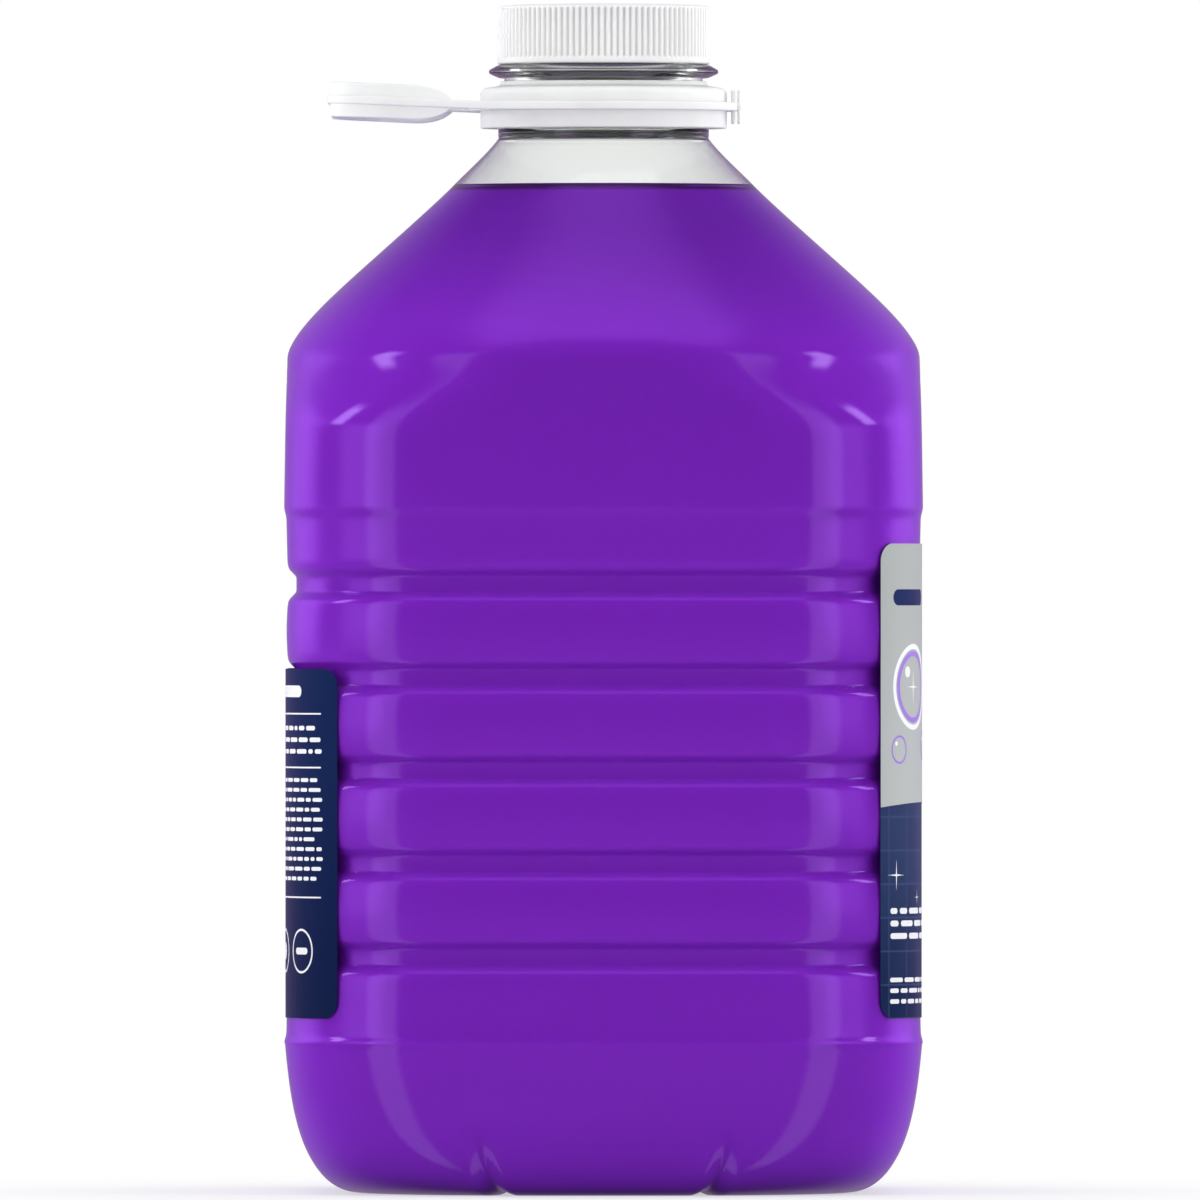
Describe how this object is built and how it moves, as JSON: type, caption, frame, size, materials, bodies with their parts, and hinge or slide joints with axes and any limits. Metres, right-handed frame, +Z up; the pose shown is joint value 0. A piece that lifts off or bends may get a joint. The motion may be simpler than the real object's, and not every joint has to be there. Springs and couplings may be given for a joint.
{
  "type": "all-purpose cleaner bottle",
  "caption": "Square clear bottle of purple cleaner with a grooved grip panel, sloping shoulder, ribbed screw cap, neck-ring carry handle and plain front and back labels.",
  "frame": {"origin": "middle of the foot, on the surface the bottle stands on", "axes": "+Z up along the neck's axis, +X towards the front label, -X towards the back label and the handle's loop; the picture looks along +Y"},
  "size_m": [0.143, 0.143, 0.2669],
  "materials": {
    "clear_plastic": "clear blown PET, glossy",
    "purple_liquid": "dyed purple water-thin liquid",
    "white_cap_plastic": "moulded polypropylene, satin",
    "foam_liner": "closed-cell foam",
    "white_handle_plastic": "moulded polyethylene, satin",
    "label_film": "printed film, satin",
    "label_print": "printed film, satin"
  },
  "bodies": {
    "bottle": {"bottle": "clear_plastic", "cleaner_liquid": "purple_liquid", "front_label": "label_film", "front_label_field": "label_print", "back_label": "label_film"},
    "liner": {"cap_liner": "foam_liner"},
    "cap": {"screw_cap": "white_cap_plastic"},
    "handle": {"carry_handle": "white_handle_plastic"}
  },
  "joints": [
    {"name": "cap_rise", "type": "slide", "parent": "bottle", "child": "liner", "axis": [0, 0, 1], "range_m": [0, 0.0127]},
    {"name": "cap_turn", "type": "hinge", "parent": "liner", "child": "cap", "pos_m": [0, 0, 0.26], "axis": [0, 0, 1], "range_deg": [0, 1080]},
    {"name": "handle_swivel", "type": "hinge", "parent": "bottle", "child": "handle", "pos_m": [0, 0, 0.244], "axis": [0, 0, 1], "continuous": true}
  ],
  "couplings": [
    {"joint": "cap_rise", "follows": "cap_turn", "m_per_rad": 0.00067322}
  ]
}
